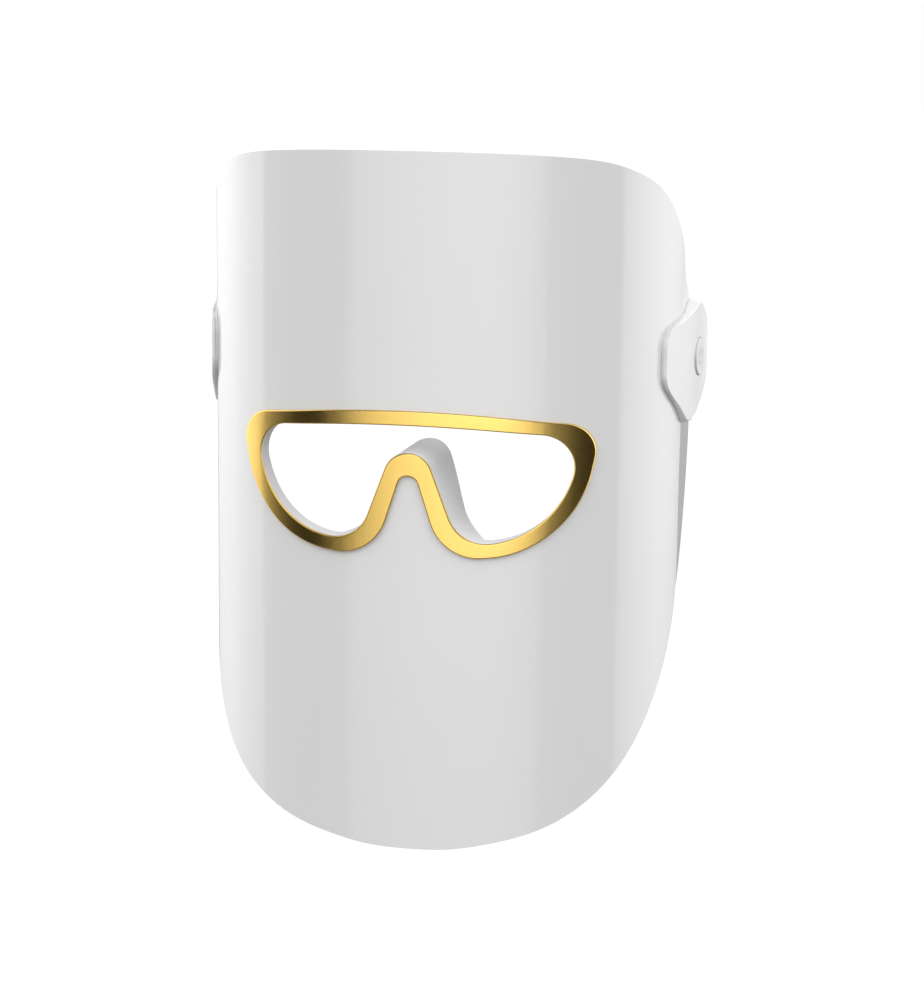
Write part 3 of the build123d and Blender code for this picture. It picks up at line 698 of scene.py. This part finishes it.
def groove(distance, pitch, depth):
    """Depth of a row of soft grooves, a pitch apart, at a distance along the row."""
    off = abs((distance / pitch + 0.5) % 1.0 - 0.5) * pitch
    return -depth * math.exp(-((off / (GROOVE_SHARE * pitch)) ** 2))


class MASK_OT_finishes(bpy.types.Operator):
    """Gives every CAD node that stays its finish"""

    bl_idname = "mask.finishes"
    bl_label = "Finishes"

    def execute(self, context):
        shell, satin, steel = shell_finish(), frame_finish(), steel_finish("steel_bright", 0.34, 0.4, 0.04)
        board, film, foam, nylon = board_finish(), film_finish(), foam_finish(), washer_finish()
        silicone, chip, button = silicone_finish(), chip_finish(), button_finish()
        lamp_lens_finish()
        mark_finish()
        by_start = {
            "front_cover": shell, "eye_trim": gold_finish(), "eye_tunnel": tunnel_finish(),
            "nose_pad": silicone, "rear_frame": satin, "inner_panel": clear_finish(),
            "led_board": board, "leds": lamp_body_finish(), "link_cable": film, "pod_cable": film,
            "control_board": green_board_finish(), "control_chips": chip,
            "switch_housing": chip, "switch_plunger": button,
            "battery_cell": foil_finish(), "battery_foam": foam, "hinge_washers": nylon,
            "pod_cover": shell, "arm": shell, "power_button": button,
            "forehead_pad": silicone, "arm_pad": silicone, "arm_core": steel,
        }
        for name, node in frame["nodes"].items():
            fitting = [start for start in by_start if name.startswith(start)]
            paint(node, by_start[max(fitting, key=len)] if fitting else steel)
        return {"FINISHED"}


class MASK_OT_shield(bpy.types.Operator):
    """Makes the glossy shield with its rounded rim"""

    bl_idname = "mask.shield"
    bl_label = "Shield"

    def execute(self, context):
        shield = cast_from("front_cover", "shield_shell")
        round_edges(shield, sizes().shell_edge)
        paint(shield, bpy.data.materials["shell_gloss_white"])
        settle(shield, "mask", "shield_white", "front_cover")
        return {"FINISHED"}


class MASK_OT_trim(bpy.types.Operator):
    """Makes the gold trim and the grey wall behind it"""

    bl_idname = "mask.trim"
    bl_label = "Trim and tunnel"

    def execute(self, context):
        trim = cast_from("eye_trim", "eye_trim_ring")
        round_edges(trim, sizes().trim_edge, 5, share=outer_share)
        paint(trim, bpy.data.materials["trim_gold_anodised"])
        settle(trim, "mask", "trim_gold", "eye_trim")
        tunnel = cast_from("eye_tunnel", "eye_tunnel_wall")
        round_edges(tunnel, sizes().frame_edge)
        # Painted shade: the tunnel's finish is greyed to carry the shade inside the eye opening
        paint(tunnel, bpy.data.materials["tunnel_satin_painted_shade"])
        settle(tunnel, "mask", "tunnel_grey", "eye_tunnel")
        return {"FINISHED"}


class MASK_OT_frame(bpy.types.Operator):
    """Makes the rear frame and the clear inner panel"""

    bl_idname = "mask.frame"
    bl_label = "Frame and panel"

    def execute(self, context):
        rear = cast_from("rear_frame", "rear_frame_body")
        round_edges(rear, sizes().frame_edge)
        # Painted shade: the frame's finish is darkened to carry the shade on its strip past the shield's rear
        # edge
        paint(rear, bpy.data.materials["frame_satin_painted_shade"])
        settle(rear, "mask", "frame_grey", "rear_frame")
        panel = cast_from("inner_panel", "inner_panel_clear")
        round_edges(panel, sizes().frame_edge)
        paint(panel, bpy.data.materials["panel_clear"])
        settle(panel, "mask", "panel_clear", "inner_panel")
        return {"FINISHED"}


class MASK_OT_pods(bpy.types.Operator):
    """Makes the covers of the temple pods"""

    bl_idname = "mask.pods"
    bl_label = "Pods"

    def execute(self, context):
        low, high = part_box("power_button")
        button = (low + high) / 2
        face_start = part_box("pod_cover_left")[1].x - POD_FACE_DEPTH

        def face_share(edge):
            """Full share round the outer face, a small one round the button's hole."""
            spot = (edge.verts[0].co + edge.verts[1].co) / 2
            outward = any(abs(face.normal.x) > POD_FACING for face in edge.link_faces)
            if not outward or abs(spot.x) <= face_start:
                return POD_BACK_SHARE
            return HOLE_SHARE if (spot - button).length < HOLE_REACH else 1.0

        for side in ("left", "right"):
            cover = cast_from("pod_cover_" + side, "pod_shell_" + side)
            round_edges(cover, sizes().pod_edge, 4, 20.0, face_share)
            paint(cover, bpy.data.materials["shell_gloss_white"])
            settle(cover, "mask", "shield_white", "pod_cover_" + side)
        return {"FINISHED"}


class MASK_OT_arms(bpy.types.Operator):
    """Makes the temple arms with their hinges"""

    bl_idname = "mask.arms"
    bl_label = "Arms and hinges"

    def execute(self, context):
        steel = bpy.data.materials["steel_bright"]
        for side in ("left", "right"):
            arm = cast_from("arm_" + side, "temple_arm_" + side)
            round_edges(arm, sizes().arm_edge)
            paint(arm, bpy.data.materials["shell_gloss_white"])
            settle(arm, side + "_arm", "shield_white", "arm_" + side)
            for part in ("hinge_bracket_", "hinge_pin_"):
                metal = cast_from(part + side, part + side + "_metal")
                round_edges(metal, sizes().metal_edge)
                paint(metal, steel)
                settle(metal, "mask", "steel", part + side)
        return {"FINISHED"}


class MASK_OT_pads(bpy.types.Operator):
    """Makes the silicone pads for the nose, the forehead and the temples"""

    bl_idname = "mask.pads"
    bl_label = "Pads"

    def execute(self, context):
        silicone = bpy.data.materials["silicone_soft"]
        crown, pitch, depth = sizes().pad_crown, sizes().rib_pitch, sizes().rib_depth

        brow = cast_from("forehead_pad", "forehead_cushion")
        low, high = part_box("forehead_pad")
        soften(brow, sizes().pad_grain, BROW_ROUNDS)
        half, rise = (high.x - low.x) / 2, (high.z - low.z) / 2
        middle = (high.z + low.z) / 2

        def brow_height(spot, normal):
            facing = max(0.0, normal.y)
            across = max(0.0, 1 - abs((spot.z - middle) / rise) ** ACROSS_POWER)
            edge = across * max(0.0, 1 - abs(spot.x / half) ** ALONG_POWER)
            return facing * edge * (crown + groove(spot.x, pitch, depth))

        swell(brow, brow_height)

        nose = cast_from("nose_pad", "nose_cushion")
        soften(nose, sizes().pad_grain, NOSE_ROUNDS)

        for piece, node in ((brow, "forehead_pad"), (nose, "nose_pad")):
            paint(piece, silicone)
            settle(piece, "mask", "silicone", node)

        for side, sign in (("left", 1), ("right", -1)):
            pad = cast_from("arm_pad_" + side, "temple_cushion_" + side)
            low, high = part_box("arm_pad_" + side)
            soften(pad, sizes().pad_grain, TEMPLE_ROUNDS)

            def temple_height(spot, normal):
                facing = max(0.0, -sign * normal.x)
                share = (spot.y - low.y) / (high.y - low.y)
                ends = min(1.0, max(0.0, END_SLOPE * min(share, 1 - share) - END_START))
                return facing * ends * groove(spot.y, pitch, depth)

            swell(pad, temple_height)
            paint(pad, silicone)
            settle(pad, side + "_arm", "silicone", "arm_pad_" + side)
        return {"FINISHED"}


class MASK_OT_lamps(bpy.types.Operator):
    """Makes the lamp packages of the four boards"""

    bl_idname = "mask.lamps"
    bl_label = "Lamps"

    def execute(self, context):
        package = lamp_package()
        for board in ("forehead", "cheek_left", "cheek_right", "chin"):
            node = "leds_" + board
            places = [lamp_place(points) for points in islands(node)]
            lamps = stamp(package, places, "lamps_" + board)
            settle(lamps, "mask", "lamp", node)
        discard(package)
        return {"FINISHED"}


def lamp_package():
    """One lamp: an ivory cup with a slightly domed lens, facing up from the origin."""
    side, height = sizes().lamp_side, sizes().lamp_height
    chamfer, rim, step = 0.12 * side, 0.11 * side, 0.12 * side
    cup_depth, cup_slope, lens_rise, lens_dome = 0.3 * height, 0.88, 0.16 * height, 0.05 * height
    lens_reach, lens_floor = 0.33 * side, 0.5 * height
    bpy.ops.mesh.primitive_cube_add(size=1.0, location=(0, 0, height / 2))
    package = bpy.context.object
    package.scale = (side, side, height)
    bpy.ops.object.transform_apply(location=True, rotation=False, scale=True)
    bpy.ops.object.mode_set(mode="EDIT")
    bpy.ops.mesh.select_mode(type="EDGE")
    bpy.ops.mesh.select_all(action="DESELECT")
    work = bmesh.from_edit_mesh(package.data)
    for edge in work.edges:
        ends = edge.verts
        edge.select_set(abs(ends[0].co.z - ends[1].co.z) > height / 2)
    bmesh.update_edit_mesh(package.data)
    bpy.ops.mesh.bevel(offset=chamfer, segments=1)
    bpy.ops.mesh.select_mode(type="FACE")
    pick(package, lambda face: face.calc_center_median().z > 0.9 * height)
    bpy.ops.mesh.inset(thickness=rim)
    bpy.ops.mesh.extrude_region_move(TRANSFORM_OT_translate={"value": (0, 0, -cup_depth)})
    bpy.ops.transform.resize(value=(cup_slope, cup_slope, 1.0))
    for rise in (lens_rise, lens_dome):
        bpy.ops.mesh.inset(thickness=step)
        bpy.ops.transform.translate(value=(0, 0, rise))
    bpy.ops.object.mode_set(mode="OBJECT")
    paint(package, bpy.data.materials["lamp_body_ivory"], bpy.data.materials["lamp_lens_resin"])
    uv_map = package.data.uv_layers.active or package.data.uv_layers.new(name="lens")
    for face in package.data.polygons:
        centre = face.center
        inside = max(abs(centre.x), abs(centre.y)) < lens_reach and centre.z > lens_floor
        face.material_index = 1 if inside else 0
        for loop in face.loop_indices:
            spot = package.data.vertices[package.data.loops[loop].vertex_index].co
            uv_map.data[loop].uv = (spot.x / side + 0.5, spot.y / side + 0.5)
    return package


class MASK_OT_screws(bpy.types.Operator):
    """Makes the screws with their cross recesses"""

    bl_idname = "mask.screws"
    bl_label = "Screws"

    def execute(self, context):
        nodes = ["frame_screws"]
        nodes += [kind + side for kind in ("pod_screws_", "bracket_screws_") for side in ("left", "right")]
        for node in nodes:
            found = [screw_place(points) for points in islands(node)]
            model = screw_model(found[0][1], node)
            screws = stamp(model, [place for place, length in found], node + "_steel")
            discard(model)
            settle(screws, "mask", "steel", node)
        return {"FINISHED"}


def screw_model(length, node):
    """One pan head screw, its head's seat at the origin and its shank below."""
    radius, height = sizes().screw_head / 2, sizes().screw_head_height
    crown = 0.55 * height
    recess = (1.25 * radius, 0.26 * radius, 1.1 * height)
    recess_taper = (0.45, 0.6, 1.0)
    point_taper = (0.5, 0.5, 1.0)
    points = islands(node)[0]
    place = screw_place(points)[0].inverted()
    near = [place @ point for point in points]
    shank_radius = max(math.hypot(spot.x, spot.y) for spot in near if spot.z < -LEVEL)
    bpy.ops.mesh.primitive_cylinder_add(vertices=24, radius=radius, depth=height, location=(0, 0, height / 2))
    head = bpy.context.object
    bpy.ops.object.transform_apply(location=True, rotation=True, scale=True)
    bpy.ops.object.mode_set(mode="EDIT")
    pick(head, lambda face: face.normal.z > 0.9)
    bpy.ops.mesh.region_to_loop()
    bpy.ops.mesh.bevel(offset=crown, segments=3)
    bpy.ops.object.mode_set(mode="OBJECT")
    for turn in (0, math.pi / 2):
        bpy.ops.mesh.primitive_cube_add(size=1.0, location=(0, 0, height), rotation=(0, 0, turn))
        bit = bpy.context.object
        bit.scale = recess
        bpy.ops.object.transform_apply(location=True, rotation=True, scale=True)
        bpy.ops.object.mode_set(mode="EDIT")
        pick(bit, lambda face: face.normal.z < -0.9)
        bpy.ops.transform.resize(value=recess_taper, center_override=(0, 0, height / 2))
        bpy.ops.object.mode_set(mode="OBJECT")
        use(head)
        cut = head.modifiers.new("recess", "BOOLEAN")
        cut.object = bit
        cut.solver = "EXACT"
        bpy.ops.object.modifier_apply(modifier=cut.name)
        discard(bit)
    bpy.ops.mesh.primitive_cylinder_add(
        vertices=16, radius=shank_radius, depth=length, location=(0, 0, -length / 2))
    shank = bpy.context.object
    bpy.ops.object.transform_apply(location=True, rotation=True, scale=True)
    bpy.ops.object.mode_set(mode="EDIT")
    pick(shank, lambda face: face.normal.z < -0.9)
    bpy.ops.transform.resize(value=point_taper)
    bpy.ops.object.mode_set(mode="OBJECT")
    use(head)
    shank.select_set(True)
    bpy.ops.object.join()
    bpy.ops.object.shade_smooth_by_angle(angle=math.radians(35))
    paint(head, bpy.data.materials["steel_bright"])
    return head


class MASK_OT_button(bpy.types.Operator):
    """Makes the power button, its symbol and the charging socket"""

    bl_idname = "mask.button"
    bl_label = "Button and socket"

    def execute(self, context):
        press = next(joint for joint in frame["joints"] if joint["name"] == "button_press")
        outward = -Vector(press["axis"])
        button = cast_from("power_button", "button_cap")
        round_edges(button, sizes().button_edge)
        paint(button, bpy.data.materials["button_satin_white"])
        settle(button, "button", "button_white", "power_button")

        points = [vertex.co for vertex in frame["nodes"]["power_button"].data.vertices]
        top = max(point.dot(outward) for point in points)
        face = middle_of([point for point in points if point.dot(outward) > top - 0.01 * MM])
        up = Vector((0, 0, 1))
        turn = Matrix((up.cross(outward), up, outward)).transposed().to_4x4()
        mark = power_symbol()
        mark.data.transform(Matrix.Translation(face) @ turn)
        paint(mark, bpy.data.materials["mark_grey"])
        settle(mark, "button", "button_white")

        socket = cast_from("usb_socket", "charging_socket")
        round_edges(socket, sizes().socket_edge)
        paint(socket, bpy.data.materials["steel_bright"])
        settle(socket, "mask", "steel", "usb_socket")
        return {"FINISHED"}


def power_symbol():
    """The power symbol, lying on the ground at the origin with its bar toward +Y."""
    radius, stroke, rise = sizes().mark_radius, sizes().mark_stroke, sizes().mark_rise
    gap = math.radians(38)
    bar_middle, bar_length = 0.72 * radius, 0.95 * radius
    bpy.ops.mesh.primitive_plane_add(size=stroke, location=(0, 0, 0))
    mark = bpy.context.object
    mark.name = "power_mark"
    bpy.ops.object.mode_set(mode="EDIT")
    bpy.ops.mesh.select_all(action="SELECT")
    bpy.ops.transform.resize(value=(1.0, 2 * rise / stroke, 1.0))
    bpy.ops.transform.rotate(value=math.pi / 2, orient_axis="X", center_override=(0, 0, 0))
    start = math.pi / 2 + gap
    bpy.ops.transform.translate(value=(radius, 0, 0))
    bpy.ops.transform.rotate(value=-start, orient_axis="Z", center_override=(0, 0, 0))
    bpy.ops.mesh.spin(
        steps=40, angle=-(2 * math.pi - 2 * gap), center=(0, 0, 0), axis=(0, 0, 1), dupli=False)
    bpy.ops.object.mode_set(mode="OBJECT")
    bpy.ops.mesh.primitive_cube_add(size=1.0, location=(0, bar_middle, 0))
    bar = bpy.context.object
    bar.scale = (stroke, bar_length, 2 * rise)
    bpy.ops.object.transform_apply(location=True, rotation=False, scale=True)
    use(mark)
    bar.select_set(True)
    bpy.ops.object.join()
    bpy.ops.object.mode_set(mode="EDIT")
    bpy.ops.mesh.select_all(action="SELECT")
    bpy.ops.mesh.remove_doubles(threshold=0.002 * MM)
    bpy.ops.mesh.normals_make_consistent(inside=False)
    bpy.ops.object.mode_set(mode="OBJECT")
    return mark


class MASK_OT_stage(bpy.types.Operator):
    """Sets the floor, the world, the lights and the camera"""

    bl_idname = "mask.stage"
    bl_label = "Stage"

    def execute(self, context):
        set_world()
        set_floor()
        set_wall()
        set_lights()
        set_camera()
        view = context.scene.view_settings
        view.view_transform = "Standard"
        return {"FINISHED"}


def reckon(tree, operation, *values):
    """A math node's result, from sockets and plain numbers."""
    node = tree.nodes.new("ShaderNodeMath")
    node.operation = operation
    for socket, value in zip(node.inputs, values):
        if isinstance(value, bpy.types.NodeSocket):
            tree.links.new(value, socket)
        else:
            socket.default_value = value
    return node.outputs["Value"]


def set_world():
    """White for the camera, for gloss and through glass, and an even level for the rest."""
    world = bpy.data.worlds.new("studio")
    bpy.context.scene.world = world
    world.use_nodes = True
    tree = world.node_tree
    tree.nodes.clear()
    path = tree.nodes.new("ShaderNodeLightPath")
    seen = path.outputs["Is Camera Ray"]
    for ray in ("Is Glossy Ray", "Is Transmission Ray"):
        seen = reckon(tree, "MAXIMUM", seen, path.outputs[ray])
    light = tree.nodes.new("ShaderNodeBackground")
    light.inputs["Strength"].default_value = studio().ambient
    backdrop = tree.nodes.new("ShaderNodeBackground")
    backdrop.inputs["Strength"].default_value = studio().backdrop
    for background in (light, backdrop):
        background.inputs["Color"].default_value = (1.0, 1.0, 1.0, 1.0)
    mix = tree.nodes.new("ShaderNodeMixShader")
    tree.links.new(seen, mix.inputs["Fac"])
    tree.links.new(light.outputs["Background"], mix.inputs[1])
    tree.links.new(backdrop.outputs["Background"], mix.inputs[2])
    output = tree.nodes.new("ShaderNodeOutputWorld")
    tree.links.new(mix.outputs["Shader"], output.inputs["Surface"])


def set_floor():
    """A pale floor below the mask, white to the camera and still darkened by a shadow."""
    bpy.ops.mesh.primitive_plane_add(size=FLOOR_SIZE, location=(0, 0, FLOOR_LEVEL))
    floor = bpy.context.object
    floor.name = "studio_floor"
    material = bpy.data.materials.new("floor_pale")
    material.use_nodes = True
    tree = material.node_tree
    shader = tree.nodes["Principled BSDF"]
    shader.inputs["Base Color"].default_value = (FLOOR_SHADE, FLOOR_SHADE, FLOOR_SHADE, 1.0)
    shader.inputs["Roughness"].default_value = 1.0
    shader.inputs["Specular IOR Level"].default_value = 0.0
    shader.inputs["Emission Color"].default_value = (1.0, 1.0, 1.0, 1.0)
    path = tree.nodes.new("ShaderNodeLightPath")
    lift = reckon(tree, "MULTIPLY", path.outputs["Is Camera Ray"], FLOOR_LIFT)
    tree.links.new(lift, shader.inputs["Emission Strength"])
    floor.data.materials.append(material)


def set_wall():
    """A round wall that only gloss sees: bright in front and beside, with a dark flag on each side."""
    bpy.ops.mesh.primitive_cylinder_add(
        vertices=120, radius=WALL_RADIUS, depth=WALL_HEIGHT, end_fill_type="NOTHING")
    wall = bpy.context.object
    wall.name = "studio_wall"
    material = bpy.data.materials.new("wall_light")
    material.use_nodes = True
    tree = material.node_tree
    tree.nodes.clear()
    place = tree.nodes.new("ShaderNodeTexCoord")
    parts = tree.nodes.new("ShaderNodeSeparateXYZ")
    tree.links.new(place.outputs["Object"], parts.inputs["Vector"])
    front = reckon(tree, "MULTIPLY", parts.outputs["Y"], -1.0)
    angle = reckon(tree, "ARCTAN2", parts.outputs["X"], front)
    turn = tree.nodes.new("ShaderNodeMapRange")
    turn.inputs["From Min"].default_value = -math.pi
    turn.inputs["From Max"].default_value = math.pi
    tree.links.new(angle, turn.inputs["Value"])
    ramp = tree.nodes.new("ShaderNodeValToRGB")
    elements = ramp.color_ramp.elements
    while len(elements) < len(WALL_LIGHT):
        elements.new(0.5)
    for element, (azimuth, level) in zip(elements, WALL_LIGHT):
        element.position = azimuth / 360 + 0.5
        shade = level / WALL_PEAK
        element.color = (shade, shade, shade, 1.0)
    tree.links.new(turn.outputs["Result"], ramp.inputs["Fac"])
    low = tree.nodes.new("ShaderNodeMapRange")
    fall = (WALL_LOW, 0.0, WALL_LOW_SHARE * WALL_PEAK, WALL_PEAK)
    for socket, value in zip(("From Min", "From Max", "To Min", "To Max"), fall):
        low.inputs[socket].default_value = value
    tree.links.new(parts.outputs["Z"], low.inputs["Value"])
    glow = tree.nodes.new("ShaderNodeEmission")
    tree.links.new(ramp.outputs["Color"], glow.inputs["Color"])
    tree.links.new(low.outputs["Result"], glow.inputs["Strength"])
    output = tree.nodes.new("ShaderNodeOutputMaterial")
    tree.links.new(glow.outputs["Emission"], output.inputs["Surface"])
    wall.data.materials.append(material)
    wall.visible_camera = False
    wall.visible_diffuse = False
    wall.visible_shadow = False
    wall.visible_transmission = False


def set_lights():
    """A soft light from high on each side of the mask and a weaker one behind it."""
    for name, azimuth, share in LIGHTS:
        bpy.ops.object.light_add(type="SUN")
        light = bpy.context.object
        light.name = name
        light.data.energy = share * studio().side_light
        light.data.angle = math.radians(LIGHT_SPREAD)
        light.rotation_euler = (math.radians(LIGHT_TILT), 0, math.radians(azimuth))
        light.visible_glossy = False


def set_camera():
    """The camera stands where the photograph was taken from."""
    turned_right = CAMERA_RIGHT * math.cos(CAMERA_ROLL) + CAMERA_UP * math.sin(CAMERA_ROLL)
    turned_up = CAMERA_UP * math.cos(CAMERA_ROLL) - CAMERA_RIGHT * math.sin(CAMERA_ROLL)
    bpy.ops.object.camera_add()
    camera = bpy.context.object
    camera.name = "photo_camera"
    camera.data.lens = CAMERA_LENS
    camera.data.sensor_width = SENSOR_WIDTH
    camera.data.clip_start = CAMERA_NEAR
    turn = Matrix((turned_right, turned_up, CAMERA_BACK)).transposed()
    camera.matrix_world = Matrix.Translation(CAMERA_PLACE) @ turn.to_4x4()
    bpy.context.scene.camera = camera


class MASK_PT_panel(bpy.types.Panel):
    """Lists the steps that finish the mask"""

    bl_label = "Face mask"
    bl_idname = "MASK_PT_panel"
    bl_space_type = "VIEW_3D"
    bl_region_type = "UI"
    bl_category = "Face mask"

    def draw(self, context):
        for step in STEPS:
            self.layout.operator(step.bl_idname)
        for group in (sizes(), colours(), studio()):
            for name in group.__annotations__:
                self.layout.prop(group, name)


GROUPS = (MaskSizes, MaskColours, StudioSettings)
STEPS = (
    MASK_OT_stage, MASK_OT_finishes, MASK_OT_shield, MASK_OT_trim, MASK_OT_frame,
    MASK_OT_pods, MASK_OT_arms, MASK_OT_pads, MASK_OT_lamps, MASK_OT_screws, MASK_OT_button,
)


def register():
    for cls in (*GROUPS, *STEPS, MASK_PT_panel):
        bpy.utils.register_class(cls)
    bpy.types.Scene.mask_sizes = PointerProperty(type=MaskSizes)
    bpy.types.Scene.mask_colours = PointerProperty(type=MaskColours)
    bpy.types.Scene.mask_studio = PointerProperty(type=StudioSettings)


def unregister():
    for name in ("mask_sizes", "mask_colours", "mask_studio"):
        delattr(bpy.types.Scene, name)
    for cls in reversed((*GROUPS, *STEPS, MASK_PT_panel)):
        bpy.utils.unregister_class(cls)


def main():
    register()
    for step in STEPS:
        group, name = step.bl_idname.split(".")
        getattr(getattr(bpy.ops, group), name)()


if __name__ == "__main__":
    main()
